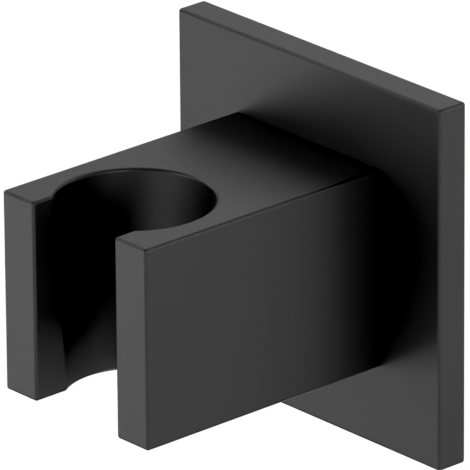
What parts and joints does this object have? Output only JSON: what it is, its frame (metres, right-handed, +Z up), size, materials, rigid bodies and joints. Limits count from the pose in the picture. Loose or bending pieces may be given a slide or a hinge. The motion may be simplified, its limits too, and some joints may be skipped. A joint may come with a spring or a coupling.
{
  "type": "hand shower holder",
  "caption": "Square wall holder for a hand shower: a matt black forked block with a tapered, slotted socket on a square plate, held by a hidden bracket and a grub screw.",
  "frame": {"origin": "middle of the plate's back, on the wall", "axes": "+Z up, +Y into the wall, so that the fork stands out towards -Y, and +X to the right seen from the front"},
  "size_m": [0.06, 0.0535, 0.06],
  "materials": {
    "black_coat": "matte",
    "screw_steel": "satin",
    "bracket_steel": "satin",
    "post_brass": "satin",
    "grub_steel": "satin"
  },
  "bodies": {
    "root": {"fork_body": "black_coat", "wall_plate": "black_coat", "plate_screws": "screw_steel", "wall_bracket": "bracket_steel", "mounting_post": "post_brass", "grub_screw": "grub_steel"}
  },
  "joints": []
}
